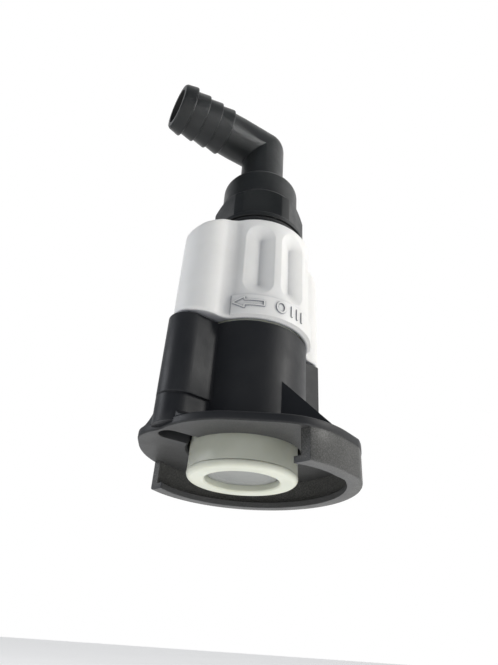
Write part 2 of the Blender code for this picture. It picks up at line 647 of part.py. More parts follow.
# ---------------------------------------------------------------- assembly
black = material("black_plastic", BLACK, 0.38)
white = material("white_plastic", WHITE, 0.5)
ivory = material("ivory_plastic", IVORY, 0.4)
grey = material("grey_plastic", GREY, 0.45)
steel = material("stainless_steel", STEEL, 0.3, 1.0)
rubber = material("black_rubber", RUBBER, 0.7)

build_housing()
build_collar()
finish(ring("collar_washer", 20.1, GUIDE_R + GAP, GAP, 1.6), ivory)
retainer = ring("collar_retaining_ring", 20.1, RETAINER_R + GAP, RETAINER_LOW, RETAINER_LOW + 1.4)
retainer_gap = box("retainer_gap", (10.0, 5.0, 6.0), (19.0, 0.0, RETAINER_LOW + 0.7))
finish(bake(combine(retainer, [retainer_gap], "DIFFERENCE")), steel)
build_o_ring("wiper_ring", GUIDE_BORE_R + 0.62, GUIDE_TOP - 2.1, 0.66)
build_probe_tube()
build_nose_ring()
build_o_ring("nose_o_ring", 15.42, -45.8, 0.45)
build_o_ring("probe_o_ring_lower", 14.35, LOWER_RING_Z, 0.7)
build_o_ring("probe_o_ring_upper", 14.35, UPPER_RING_Z, 0.7)
build_cam_pin("cam_pin_front", PIN_ANGLES[1])
build_cam_pin("cam_pin_rear", PIN_ANGLES[0])
build_spring_guide()
build_valve_spring()
build_valve()
build_lock_ring()
build_elbow()

lift = bpy.data.objects.new("lift", None)
PARTS.objects.link(lift)
lift.location.z = -VALVE_FACE * MM
for shape in list(PARTS.objects) + list(CUTTERS.objects):
    if shape is not lift:
        shape.parent = lift
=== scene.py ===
"""Looks for the slide-on container coupler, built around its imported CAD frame.

Each CAD node that can be seen, and the spring, gets a finer mesh with rounded edges. The
meshes keep part.py's sizes with three exceptions, to come nearer to the real object's looks:
the grip flutes are deeper, the front ear's foot is larger and turned a little, and the
collar's bore has no cam grooves. Shapes are written in millimetres from the parting plane
between collar and housing, and LIFT raises them into the frame, whose origin is the valve
disc's lower face.
"""

import json
import math

import bmesh
import bpy
import numpy as np
from mathutils import Euler, Matrix, Vector


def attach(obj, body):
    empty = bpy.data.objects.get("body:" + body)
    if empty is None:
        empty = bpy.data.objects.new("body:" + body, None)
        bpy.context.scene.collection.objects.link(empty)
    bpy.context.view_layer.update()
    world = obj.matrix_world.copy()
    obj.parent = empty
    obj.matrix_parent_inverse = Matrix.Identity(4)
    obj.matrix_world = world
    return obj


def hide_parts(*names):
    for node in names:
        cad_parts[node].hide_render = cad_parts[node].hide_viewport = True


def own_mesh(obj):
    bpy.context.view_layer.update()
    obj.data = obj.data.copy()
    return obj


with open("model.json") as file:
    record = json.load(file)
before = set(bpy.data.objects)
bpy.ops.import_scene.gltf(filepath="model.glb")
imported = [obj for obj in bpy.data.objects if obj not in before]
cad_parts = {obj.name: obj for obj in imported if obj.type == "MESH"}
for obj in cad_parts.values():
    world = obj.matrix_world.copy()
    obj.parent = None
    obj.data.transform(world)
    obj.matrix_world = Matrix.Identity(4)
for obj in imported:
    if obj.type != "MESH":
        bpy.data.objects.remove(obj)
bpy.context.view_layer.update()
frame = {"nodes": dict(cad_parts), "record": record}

MM = 0.001
LIFT = 47.7
WELD = 0.002 * MM             # merge distance after a Boolean
TINY = 1e-6

# sizes that follow part.py, in mm
BODY_R = 20.9
BORE_R = 19.0
GUIDE_R = 18.4
GUIDE_BORE_R = 15.5
GUIDE_TOP = 44.0
BORE_TOP = -9.0
PLATE_TOP = -37.5
PLATE_BOTTOM = -40.4
EAR_TOP = -0.2
EAR_ANGLE = math.radians(-143.0)     # front grip ear
EAR_HALF_WIDTH = 7.0
EAR_REACH = 34.8
EAR_LOW = -29.6               # below this the ear steps back to its foot
EAR_INNER = 17.5              # ears start inside the body
FOOT_ANGLE = math.radians(-144.2)    # the foot lies nearly flush with the ear
FOOT_HALF_WIDTH = 6.6
FOOT_REACH = 34.5
BACK_EAR_ANGLE = math.radians(34.0)
BACK_EAR_HALF_WIDTH = 7.1
BACK_EAR_REACH = 28.6
FLARE_ANGLE = math.radians(-146.0)
FLARE_TOP = -30.2             # where the foot starts to widen into the plate
FLARE_GROWTH = 5.6
POCKET_ANGLE = math.radians(-149.0)
POCKET_TOP = -31.0
WEB_START = (10.0, -17.6)
WEB_END = (27.0, -22.6)
WEB_TOP = -20.2
WEB_THICKNESS = 1.8
RIM_BOTTOM = -50.3
CLAW_R = 37.2
CLAW_CENTRE = (1.9, 0.8)
CLAW_WALL = 3.0
LIP_DEPTH = 2.1
LIP_TOP = -48.3
SLIDE_ANGLE = math.radians(-132.0)
CLAW_END = 9.3
COLLAR_R = 22.1
COLLAR_BORE_R = 18.9
COLLAR_BOTTOM = 0.6
COLLAR_TOP = 46.8
LOBE_R = 9.4
LOBE_ROOT_R = 5.7
LOBES = ((math.radians(-141.0), 24.1), (math.radians(39.0), 23.3))
BAND_TOP = 9.6
BAND_PROUD = 0.6
BAND_START = math.radians(-111.0)
BAND_END = math.radians(3.0)
BORE_CHAMFER_R = 20.4         # collar bore's wider mouth
FLUTE_ANGLES = [math.radians(angle) for angle in (-87.0, -50.0, -13.0, 93.0, 130.0, 167.0)]
FLUTE_Z = 27.0
FLUTE_HALF_LENGTH = 10.4      # straight part, without the round ends
FLUTE_HALF_WIDTH = 5.9
FLUTE_DEPTH = 2.95            # 1 mm over part.py's: a turned collar shows the cam pins' tips
CROWN_HEIGHTS = (30.0, 33.0, 38.2, 41.4, 44.4, 46.6, 48.0)
CROWN_RADII = (36.5, 35.6, 34.0, 31.5, 27.0, 22.9, 21.0)     # how far the lobes reach there
MARK_R = COLLAR_R + BAND_PROUD
MARK_Z = 6.1
MARK_PROUD = 0.4
PIN_ANGLES = (math.radians(84.0), math.radians(264.0))
PIN_Z = 18.0
PIN_HOLE_R = 2.3
PROBE_R = 15.1
PROBE_BORE_R = 12.0
HEAD_R = 18.0
HEAD_TOP = -28.0
CHAMBER_R = 16.0
NOSE_R = 18.4
NOSE_TOP = -47.9
NOSE_BOTTOM = -50.0
MOUTH_R = 12.4
DISC_R = 14.0
VALVE_FACE = -LIFT
DISC_TOP = VALVE_FACE + 3.6
SPRING_R = 8.0
SPRING_WIRE_R = 0.6
SPRING_TURNS = 5.0
FLANGE_R = 19.6
LOCK_BORE_R = 12.3
SPIGOT_R = 11.7
TAIL_Z = 112.2
TAIL_ANGLE = math.radians(-150.3)
TAIL_LENGTH = 47.0
STUB_R = 10.0
BARB_PITCH = 6.4
FLOW_R = 7.8
ROUND = 144                   # steps round a turned piece

FLOOR_Z = -0.075              # metres; under the camera, which looks up at the part


# ---------------------------------------------------------------- mesh helpers
def new_object(name, data):
    made = bpy.data.objects.new(name, data)
    bpy.context.scene.collection.objects.link(made)
    return made


def from_bmesh(name, bm):
    bmesh.ops.recalc_face_normals(bm, faces=bm.faces)
    mesh = bpy.data.meshes.new(name)
    bm.to_mesh(mesh)
    bm.free()
    return new_object(name, mesh)


def polar(radius, angle):
    return (radius * math.cos(angle), radius * math.sin(angle))


def arc(centre, radius, start, end, count):
    return [(centre[0] + radius * math.cos(start + (end - start) * i / (count - 1)),
             centre[1] + radius * math.sin(start + (end - start) * i / (count - 1)))
            for i in range(count)]


def fillet(points, radius, closed=True, segments=4):
    """Rounds the corners of an outline; a corner on the axis keeps its place."""
    out = []
    count = len(points)
    for i, point in enumerate(points):
        here = Vector(point)
        if not closed and i in (0, count - 1):
            out.append(tuple(here))
            continue
        before = Vector(points[i - 1]) - here
        after = Vector(points[(i + 1) % count]) - here
        reach = min(radius, before.length * 0.45, after.length * 0.45)
        turn = before.angle(-after, 0.0)
        if turn < math.radians(14.0) or reach < 0.02:
            out.append(tuple(here))
            continue
        start = here + before.normalized() * reach
        end = here + after.normalized() * reach
        for k in range(segments + 1):
            t = k / segments
            out.append(tuple(start * (1 - t) ** 2 + here * 2 * t * (1 - t) + end * t * t))
    return out


def turned(name, profile, edge=0.25, steps=ROUND):
    """Solid of revolution about Z; profile[0][0] == 0 closes it on the axis."""
    on_axis = profile[0][0] < TINY
    points = fillet(profile, edge, closed=not on_axis) if edge else profile
    bm = bmesh.new()
    rings = []
    for radius, height in points:
        if radius < 1e-9:
            rings.append([bm.verts.new((0.0, 0.0, height * MM))])
            continue
        rings.append([bm.verts.new((radius * math.cos(2 * math.pi * k / steps) * MM,
                                    radius * math.sin(2 * math.pi * k / steps) * MM,
                                    height * MM))
                      for k in range(steps)])
    pairs = list(zip(rings, rings[1:]))
    if not on_axis:
        pairs.append((rings[-1], rings[0]))
    for upper, lower in pairs:
        for k in range(steps):
            n = (k + 1) % steps
            if len(upper) == 1:
                bm.faces.new((upper[0], lower[k], lower[n]))
            elif len(lower) == 1:
                bm.faces.new((upper[k], lower[0], upper[n]))
            else:
                bm.faces.new((upper[k], lower[k], lower[n], upper[n]))
    return from_bmesh(name, bm)


def inset_outline(outline, amount):
    """Moves a closed outline inwards along its corners' bisectors."""
    points = [Vector(point) for point in outline]
    count = len(points)
    area = sum(points[i].x * points[(i + 1) % count].y
               - points[(i + 1) % count].x * points[i].y for i in range(count))
    side = 1.0 if area > 0 else -1.0
    moved = []
    for i, point in enumerate(points):
        back = (point - points[i - 1]).normalized()
        ahead = (points[(i + 1) % count] - point).normalized()
        normal = Vector((-(back.y + ahead.y), back.x + ahead.x))
        normal.normalize()
        cosine = max(0.5, normal.dot(Vector((-back.y, back.x))))
        moved.append(tuple(point + normal * side * amount / cosine))
    return moved


def prism(name, outline, low, high, edge=0.0, segments=4):
    """Extruded outline whose upper and lower edges can be rounded."""
    levels = [(0.0, low), (0.0, high)]
    if edge:
        levels = []
        for k in range(segments + 1):
            angle = math.pi / 2 * k / segments
            levels.append((edge * (1 - math.sin(angle)),
                           low + edge * (1 - math.cos(angle))))
        levels += [(inset, low + high - height) for inset, height in reversed(levels)]
    bm = bmesh.new()
    rings = []
    for inset, height in levels:
        shape = inset_outline(outline, inset) if inset > TINY else outline
        rings.append([bm.verts.new((x * MM, y * MM, height * MM)) for x, y in shape])
    count = len(outline)
    for lower, upper in zip(rings, rings[1:]):
        for k in range(count):
            n = (k + 1) % count
            bm.faces.new((lower[k], lower[n], upper[n], upper[k]))
    bm.faces.new(rings[0])
    bm.faces.new(rings[-1])
    return from_bmesh(name, bm)


def box(name, size, centre, turn=0.0):
    bm = bmesh.new()
    bmesh.ops.create_cube(bm, size=1.0)
    spot = Matrix.Translation(Vector(centre) * MM) @ Matrix.Rotation(turn, 4, "Z")
    scale = Matrix.Diagonal((*(Vector(size) * MM), 1.0))
    bmesh.ops.transform(bm, matrix=spot @ scale, verts=bm.verts)
    return from_bmesh(name, bm)


def bake(target, tools):
    """Applies the Booleans and removes their tools."""
    bpy.context.view_layer.update()
    graph = bpy.context.evaluated_depsgraph_get()
    mesh = bpy.data.meshes.new_from_object(target.evaluated_get(graph))
    bm = bmesh.new()
    bm.from_mesh(mesh)
    bmesh.ops.remove_doubles(bm, verts=bm.verts, dist=WELD)
    bm.to_mesh(mesh)
    bm.free()
    target.modifiers.clear()
    target.data = mesh
    for tool in tools:
        bpy.data.objects.remove(tool, do_unlink=True)
    return target


def combine(target, joined=(), cut=(), kept=()):
    """Unions, cuts and intersections, in that order."""
    for tools, operation in ((joined, "UNION"), (cut, "DIFFERENCE"), (kept, "INTERSECT")):
        for tool in tools:
            modifier = target.modifiers.new(tool.name, "BOOLEAN")
            modifier.operation = operation
            modifier.object = tool
    return bake(target, [*joined, *cut, *kept])


def finish_surface(mesh, material, sharp_angle):
    mesh.materials.clear()
    mesh.materials.append(material)
    mesh.shade_smooth()
    mesh.set_sharp_from_angle(angle=math.radians(sharp_angle))


def place(piece, body, material, nodes=(), smooth=32.0):
    piece.data.transform(Matrix.Translation((0.0, 0.0, LIFT * MM)) @ piece.matrix_world)
    piece.matrix_world = Matrix.Identity(4)
    finish_surface(piece.data, material, smooth)
    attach(piece, body)
    if nodes:
        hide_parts(*nodes)
    return piece


# ---------------------------------------------------------------- materials
def node(tree, kind, values=None, **settings):
    made = tree.nodes.new("ShaderNode" + kind)
    for key, value in settings.items():
        setattr(made, key, value)
    for socket, value in (values or {}).items():
        made.inputs[socket].default_value = value
    return made


def mix(tree, factor, first, second, blend="MIX"):
    """Mixes two colours; each input is a socket or a fixed value."""
    made = node(tree, "Mix", data_type="RGBA", blend_type=blend)
    colour_a, colour_b, result = 6, 7, 2      # the RGBA sockets share their names with others
    for socket, value in (("Factor", factor), (colour_a, first), (colour_b, second)):
        if isinstance(value, bpy.types.NodeSocket):
            tree.links.new(value, made.inputs[socket])
        else:
            made.inputs[socket].default_value = value
    return made.outputs[result]


def ramp(tree, source, stops):
    """Colour ramp fed by a socket; stops are (position, colour)."""
    made = tree.nodes.new("ShaderNodeValToRGB")
    elements = made.color_ramp.elements
    while len(elements) < len(stops):
        elements.new(0.5)
    for element, (position, colour) in zip(elements, stops):
        element.position = position
        element.color = (*colour, 1.0)
    tree.links.new(source, made.inputs["Fac"])
    return made.outputs["Color"]


def grey(value):
    return (value, value, value)


def surface(name, tones, roughness, grain, metallic=0.0, subsurface=0.0, specular=0.5,
            seed=0.0, edge_tone=None, speckle_and_lit_tones=None, painted_recess_shade=None):
    """Procedural finish: cloudy tone, uneven gloss, moulded grain, fine scratches and worn edges.

    tones are the dark and light colour of the clouds, roughness its lowest and highest value,
    and grain the bump's size in mm, its strength and the scratches' strength. The colours for
    below the plate give a matte finish with fine specks there, painted lighter than the colours
    above to stand in for the light that falls into the claw. The recess colour is painted shade:
    ambient occlusion darkens recesses towards it.
    """
    material = bpy.data.materials.new(name)
    material.use_nodes = True
    tree = material.node_tree
    link = tree.links.new
    shader = tree.nodes["Principled BSDF"]
    shader.inputs["Metallic"].default_value = metallic
    shader.inputs["Specular IOR Level"].default_value = specular
    if subsurface:
        shader.inputs["Subsurface Weight"].default_value = subsurface
        shader.inputs["Subsurface Radius"].default_value = (1.0, 0.8, 0.5)
        shader.inputs["Subsurface Scale"].default_value = 0.0025
    where = tree.nodes.new("ShaderNodeTexCoord").outputs["Object"]
    shifted = node(tree, "Mapping", {"Location": (seed, seed * 0.7, -seed)})
    link(where, shifted.inputs["Vector"])
    spot = shifted.outputs["Vector"]

    clouds = node(tree, "TexNoise", {"Scale": 55.0, "Detail": 4.0, "Roughness": 0.55})
    link(spot, clouds.inputs["Vector"])
    tone = ramp(tree, clouds.outputs["Fac"], [(0.3, tones[0]), (0.72, tones[1])])
    # below the plate: a matte finish with fine specks, painted a lighter grey than the black above
    # to stand in for the light that falls into the claw
    if speckle_and_lit_tones:
        specks = node(tree, "TexNoise", {"Scale": 2600.0, "Detail": 2.0, "Roughness": 0.7})
        link(where, specks.inputs["Vector"])
        speckled_and_lit = ramp(tree, specks.outputs["Fac"],
                        [(0.42, speckle_and_lit_tones[0]), (0.66, speckle_and_lit_tones[1])])
        split = tree.nodes.new("ShaderNodeSeparateXYZ")
        link(where, split.inputs["Vector"])
        below = node(tree, "MapRange", {"From Min": (LIFT + PLATE_BOTTOM + 0.6) * MM,
                                        "From Max": (LIFT + PLATE_BOTTOM - 0.6) * MM})
        link(split.outputs["Z"], below.inputs["Value"])
        tone = mix(tree, below.outputs["Result"], tone, speckled_and_lit)
    # painted shade: ambient occlusion darkens recesses towards a blue-grey colour
    if painted_recess_shade:
        open_sky = node(tree, "AmbientOcclusion", {"Distance": 0.007}, samples=8)
        hollow = ramp(tree, open_sky.outputs["AO"], [(0.60, painted_recess_shade), (0.94, grey(1.0))])
        tone = mix(tree, 1.0, tone, hollow, "MULTIPLY")
    if edge_tone:
        geometry = tree.nodes.new("ShaderNodeNewGeometry")
        worn = ramp(tree, geometry.outputs["Pointiness"],
                    [(0.52, grey(0.0)), (0.60, grey(1.0))])
        tone = mix(tree, worn, tone, (*edge_tone, 1.0))
    link(tone, shader.inputs["Base Color"])

    patches = node(tree, "TexNoise", {"Scale": 140.0, "Detail": 5.0, "Roughness": 0.6})
    link(spot, patches.inputs["Vector"])
    gloss = ramp(tree, patches.outputs["Fac"],
                 [(0.25, grey(roughness[0])), (0.75, grey(roughness[1]))])
    link(gloss, shader.inputs["Roughness"])

    size, strength, scratch = grain
    pebbles = node(tree, "TexNoise", {"Scale": 1.0 / (size * MM), "Detail": 3.0,
                                      "Roughness": 0.6})
    link(spot, pebbles.inputs["Vector"])
    bumped = node(tree, "Bump", {"Strength": strength, "Distance": 0.0001})
    link(pebbles.outputs["Fac"], bumped.inputs["Height"])
    rounded = node(tree, "Bevel", {"Radius": 0.00035}, samples=4)
    link(rounded.outputs["Normal"], bumped.inputs["Normal"])
    lines = node(tree, "TexNoise", {"Scale": 420.0, "Detail": 2.0, "Roughness": 0.7,
                                    "Distortion": 0.4})
    stretch = node(tree, "Mapping", {"Rotation": (0.4, 0.2, 0.6), "Scale": (0.12, 1.0, 0.5)})
    link(where, stretch.inputs["Vector"])
    link(stretch.outputs["Vector"], lines.inputs["Vector"])
    scratched = node(tree, "Bump", {"Strength": scratch, "Distance": 0.0001})
    link(lines.outputs["Fac"], scratched.inputs["Height"])
    link(bumped.outputs["Normal"], scratched.inputs["Normal"])
    link(scratched.outputs["Normal"], shader.inputs["Normal"])
    return material


# the housing is painted lighter below the plate, standing in for light inside the claw, over a
# matte finish with fine specks
black = surface("housing_black", ((0.012, 0.013, 0.0155), (0.021, 0.0215, 0.023)), (0.38, 0.54),
                (0.30, 0.34, 0.12), edge_tone=(0.05, 0.051, 0.053), specular=0.30, seed=1.3,
                speckle_and_lit_tones=((0.048, 0.048, 0.045), (0.11, 0.109, 0.104)))
elbow_black = surface("elbow_black", ((0.009, 0.0105, 0.0105), (0.020, 0.021, 0.021)), (0.30, 0.52),
                      (0.55, 0.42, 0.50), edge_tone=(0.05, 0.05, 0.05), specular=0.36, seed=4.1)
# the collar's recesses get painted shade, a blue-grey darkening by ambient occlusion
white = surface("collar_white", ((0.82, 0.812, 0.785), (0.88, 0.872, 0.848)), (0.36, 0.5),
                (0.5, 0.06, 0.05), subsurface=0.05, seed=2.2, painted_recess_shade=(0.36, 0.37, 0.41))
ivory = surface("probe_ivory", ((0.44, 0.455, 0.38), (0.54, 0.55, 0.475)), (0.3, 0.46),
                (0.4, 0.06, 0.10), subsurface=0.25, seed=3.4)
disc_grey = surface("disc_grey", ((0.16, 0.165, 0.16), (0.21, 0.215, 0.205)), (0.35, 0.5),
                    (0.3, 0.12, 0.12), seed=5.5)
steel = surface("drawn_steel", ((0.50, 0.50, 0.51), (0.62, 0.62, 0.63)), (0.22, 0.4),
                (0.15, 0.12, 0.35), metallic=1.0, seed=6.1)
rubber = surface("seal_rubber", ((0.010, 0.010, 0.010), (0.022, 0.022, 0.022)), (0.6, 0.8),
                 (0.18, 0.3, 0.1), seed=7.7)
FINISHES = {"black_plastic": black, "white_plastic": white, "ivory_plastic": ivory,
            "grey_plastic": disc_grey, "stainless_steel": steel, "black_rubber": rubber}
for subpart in frame["record"]["subparts"]:
    shown = frame["nodes"][subpart["node"]]
    finish_surface(shown.data, FINISHES[subpart["material_slot"]], 35.0)


# ---------------------------------------------------------------- housing
def ear_outline(half_width, reach, angle, inner, corner=None, count=13):
    """Plan of an ear that points along angle; its outer end is round unless corner is given."""
    corner = corner or half_width
    side = half_width - corner
    low = arc((reach - corner, -side), corner, -math.pi / 2, 0.0, count)
    high = arc((reach - corner, side), corner, 0.0, math.pi / 2, count)
    if side == 0.0:
        high = high[1:]
    turn = Matrix.Rotation(angle, 2)
    outline = [(inner, -half_width)] + low + high + [(inner, half_width)]
    return [tuple(turn @ Vector(point)) for point in outline]


def smooth_through(points, per_span):
    """Catmull-Rom curve through open points."""
    ends = [points[0] * 2 - points[1]] + points + [points[-1] * 2 - points[-2]]
    out = []
    for a, b, c, d in zip(ends, ends[1:], ends[2:], ends[3:]):
        for k in range(per_span):
            t = k / per_span
            out.append(0.5 * ((2 * b) + (c - a) * t + (2 * a - 5 * b + 4 * c - d) * t * t
                              + (3 * b - a - 3 * c + d) * t ** 3))
    return out + [points[-1]]


def claw_outline(inset=0.0):
    """Plate's plan: a round back, a rounded left corner and a flatter front and right side."""
    back = [Vector(p) for p in arc(CLAW_CENTRE, CLAW_R, math.radians(-24.0),
                                   math.radians(187.0), 110)]
    left = [Vector(p) for p in ((-34.5, -8.4), (-33.0, -11.8), (-30.2, -15.0))]
    front = [Vector(p) for p in arc((-2.4, -0.5), 29.7, math.radians(215.7),
                                    math.radians(268.0), 8)]
    side = [Vector(p) for p in ((4.0, -30.5), (11.0, -30.6), (17.6, -29.6), (23.6, -26.7),
                                (28.7, -22.6), (32.8, -18.0))]
    rest = smooth_through([back[-1]] + left + front + side + [back[0]], 4)[1:-1]
    points = back + rest
    centre = Vector(CLAW_CENTRE)
    return [tuple(point - inset * (point - centre).normalized()) for point in points]


def build_housing():
    body = turned("housing_shell", [
        (0.0, GUIDE_TOP), (GUIDE_R, GUIDE_TOP), (GUIDE_R, 42.8), (17.5, 42.8), (17.5, 40.7),
        (GUIDE_R, 40.7), (GUIDE_R, 0.0), (BODY_R, 0.0), (BODY_R, PLATE_BOTTOM + 0.35),
        (0.0, PLATE_BOTTOM + 0.35)], 0.5)
    front_plan = ear_outline(EAR_HALF_WIDTH, EAR_REACH, EAR_ANGLE, EAR_INNER)
    foot_plan = ear_outline(FOOT_HALF_WIDTH, FOOT_REACH, FOOT_ANGLE, EAR_INNER)
    back_plan = ear_outline(BACK_EAR_HALF_WIDTH, BACK_EAR_REACH, BACK_EAR_ANGLE, EAR_INNER, 1.0, 6)
    front_ear = prism("ear_front", front_plan, EAR_LOW, EAR_TOP, 0.3)
    foot = prism("ear_foot", foot_plan, PLATE_BOTTOM + 1.4, EAR_LOW + 1.0)
    back_ear = prism("ear_back", back_plan, PLATE_BOTTOM + 1.4, EAR_TOP, 0.5)
    flare = combine(build_flare(), kept=[prism("flare_limit", claw_outline(0.3), -60.0, 0.0)])
    plate = prism("plate", claw_outline(), PLATE_BOTTOM, PLATE_TOP, 0.6)
    claw = prism("claw", claw_outline(0.2), RIM_BOTTOM, PLATE_BOTTOM + 0.8, 0.7)
    well = prism("well", claw_outline(CLAW_WALL), LIP_TOP, PLATE_BOTTOM)
    mouth = prism("mouth", claw_outline(CLAW_WALL + LIP_DEPTH), RIM_BOTTOM - 5.0, LIP_TOP + 1.0)
    front = box("claw_front", (60.0, 100.0, 40.0),
                (*polar(CLAW_END + 30.0, SLIDE_ANGLE), PLATE_BOTTOM - 20.0), SLIDE_ANGLE)
    claw = combine(claw, cut=[well, mouth, front])
    seat = GUIDE_BORE_R + 1.3
    bore = turned("bore", [
        (0.0, GUIDE_TOP + 1.0), (GUIDE_BORE_R + 0.3, GUIDE_TOP + 1.0),
        (GUIDE_BORE_R + 0.3, GUIDE_TOP - 0.8), (seat, GUIDE_TOP - 0.8), (seat, GUIDE_TOP - 3.4),
        (GUIDE_BORE_R, GUIDE_TOP - 3.4), (GUIDE_BORE_R, BORE_TOP), (BORE_R, BORE_TOP),
        (BORE_R, PLATE_BOTTOM + 0.8), (BORE_R + 1.0, PLATE_BOTTOM - 0.3),
        (BORE_R + 1.0, PLATE_BOTTOM - 1.0), (0.0, PLATE_BOTTOM - 1.0)], 0.0)
    hollow = prism("pocket", ear_outline(3.8, 31.0, POCKET_ANGLE, 12.0),
                   PLATE_BOTTOM - 1.0, POCKET_TOP)
    slots = [box("slot_%d" % i, (8.0, 4.4, 16.8), (*polar(17.0, angle), 24.0), angle)
             for i, angle in enumerate(PIN_ANGLES)]
    return combine(body, joined=[front_ear, foot, back_ear, flare, plate, claw, build_web()],
                   cut=[bore, hollow] + slots)


def build_flare():
    """Foot of the front ear, which widens in a hollow curve until it meets the plate."""
    count = 14
    top, low = FLARE_TOP, PLATE_TOP - 0.4
    bm = bmesh.new()
    rings = []
    for i in range(count):
        drop = i / (count - 1)
        grow = FLARE_GROWTH * (1.0 - math.sqrt(1.0 - drop * drop))
        outline = ear_outline(5.9 + grow, 33.4 + grow, FLARE_ANGLE, 18.0, count=15)
        height = top + (low - top) * drop
        rings.append([bm.verts.new((x * MM, y * MM, height * MM)) for x, y in outline])
    for above, below in zip(rings, rings[1:]):
        for k in range(len(above)):
            n = (k + 1) % len(above)
            bm.faces.new((above[k], above[n], below[n], below[k]))
    bm.faces.new(rings[0])
    bm.faces.new(rings[-1])
    return from_bmesh("flare", bm)


def build_web():
    """Triangular stiffener that runs down from the body to the plate's edge."""
    start = Vector((*WEB_START, 0.0))
    along = Vector((*WEB_END, 0.0)) - start
    length = along.length
    along.normalize()
    across = Vector((-along.y, along.x, 0.0)) * WEB_THICKNESS
    slope = length / (WEB_TOP - PLATE_TOP)
    outline = [(-3.0, WEB_TOP), (0.0, WEB_TOP), (length + 1.2 * slope, PLATE_TOP - 1.2),
               (-3.0, PLATE_TOP - 1.2)]
    bm = bmesh.new()
    near = [bm.verts.new((start + along * d + Vector((0.0, 0.0, h))) * MM) for d, h in outline]
    far = [bm.verts.new((start + along * d + across + Vector((0.0, 0.0, h))) * MM)
           for d, h in outline]
    bm.faces.new(near)
    bm.faces.new(far)
    for k in range(4):
        n = (k + 1) % 4
        bm.faces.new((near[k], near[n], far[n], far[k]))
    return from_bmesh("web", bm)


place(build_housing(), "housing", black, ["housing"])


# ---------------------------------------------------------------- collar
def lobe_angles(distance):
    """Where a lobe's hollow root meets the round part, and where it meets the lobe's end."""
    to_root = COLLAR_R + LOBE_ROOT_R
    along = (to_root ** 2 - (LOBE_R + LOBE_ROOT_R) ** 2 + distance ** 2) / (2 * distance)
    across = math.sqrt(to_root ** 2 - along ** 2)
    return math.atan2(across, along), math.atan2(across, along - distance)


def lobed_radius(angles):
    """Distance from the axis to the lobed outline at each angle."""
    to_root = COLLAR_R + LOBE_ROOT_R
    outline = []
    for turn, distance in LOBES:
        root_angle, lobe_side = lobe_angles(distance)
        outline += arc(polar(to_root, turn - root_angle), LOBE_ROOT_R,
                       turn - root_angle + math.pi, turn + math.pi - lobe_side, 40)
        outline += arc(polar(distance, turn), LOBE_R, turn - lobe_side, turn + lobe_side, 90)
        outline += arc(polar(to_root, turn + root_angle), LOBE_ROOT_R,
                       turn + math.pi + lobe_side, turn + root_angle + math.pi, 40)
    points = np.array(outline)
    where = np.arctan2(points[:, 1], points[:, 0])
    order = np.argsort(where)
    reach = np.hypot(points[:, 0], points[:, 1])
    return np.interp(angles, where[order], reach[order], period=2 * math.pi)


def step(edge, width, value):
    """Smooth step from 0 to 1 across edge."""
    t = np.clip((value - edge) / width + 0.5, 0.0, 1.0)
    return t * t * (3 - 2 * t)


def build_collar():
    """Grid over the collar's skin: lobes, flutes, crown, marking band and round edges."""
    around = 640
    angles = (np.arange(around) / around * 2 - 1) * math.pi
    plain = lobed_radius(angles)
    edge = 1.2
    rounding = [edge * (1 - math.cos(math.pi / 2 * k / 7)) for k in range(7)]
    low = [COLLAR_BOTTOM + h for h in rounding]
    high = [COLLAR_TOP - h for h in reversed(rounding)]
    band = ([1.95, 2.2] + list(np.linspace(2.6, 9.0, 9))
            + [9.25, 9.4, 9.5, 9.6, 9.7, 9.85, 10.1])
    middle = list(np.linspace(10.6, 44.9, 76))
    levels = np.array(low + band + middle + high)
    rows = []
    for z in levels:
        radius = plain.copy()
        for centre in FLUTE_ANGLES:
            turn = (angles - centre + math.pi) % (2 * math.pi) - math.pi
            across = np.abs(turn * COLLAR_R) / FLUTE_HALF_WIDTH
            up = max(abs(z - FLUTE_Z) - FLUTE_HALF_LENGTH, 0.0) / FLUTE_HALF_WIDTH
            inside = np.clip(1.0 - np.hypot(across, up), 0.0, 1.0)
            radius = radius - FLUTE_DEPTH * inside * step(0.05, 0.10, inside)
        crown = np.interp(z, CROWN_HEIGHTS, CROWN_RADII)
        blend = 0.8
        radius = -blend * np.log(np.exp(-radius / blend) + np.exp(-crown / blend))
        span = step(BAND_START * COLLAR_R, 0.35, angles * COLLAR_R) \
            * (1 - step(BAND_END * COLLAR_R, 0.35, angles * COLLAR_R))
        rise = float(1 - step(BAND_TOP, 0.4, z)) * float(step(COLLAR_BOTTOM + 0.7, 0.5, z))
        weight = span * rise
        radius = np.maximum(radius, MARK_R) * weight + radius * (1 - weight)
        for end in (COLLAR_BOTTOM, COLLAR_TOP):
            depth = edge - min(abs(z - end), edge)
            radius = radius - (edge - math.sqrt(max(edge ** 2 - depth ** 2, 0.0)))
        rows.append((z, radius))
    bm = bmesh.new()
    rings = []
    inner = [(20.9, COLLAR_TOP), (20.6, COLLAR_TOP - 0.4), (20.3, 40.5), (COLLAR_BORE_R, 40.5),
             (COLLAR_BORE_R, 1.9), (BORE_CHAMFER_R, 1.9), (BORE_CHAMFER_R, COLLAR_BOTTOM + 0.3),
             (20.7, COLLAR_BOTTOM)]
    for z, radius in rows:
        rings.append([bm.verts.new((r * math.cos(a) * MM, r * math.sin(a) * MM, z * MM))
                      for a, r in zip(angles, radius)])
    for r, z in inner:
        rings.append([bm.verts.new((r * math.cos(a) * MM, r * math.sin(a) * MM, z * MM))
                      for a in angles])
    for i, ring in enumerate(rings):
        following = rings[(i + 1) % len(rings)]
        for k in range(around):
            n = (k + 1) % around
            bm.faces.new((ring[k], ring[n], following[n], following[k]))
    return from_bmesh("collar_shell", bm)


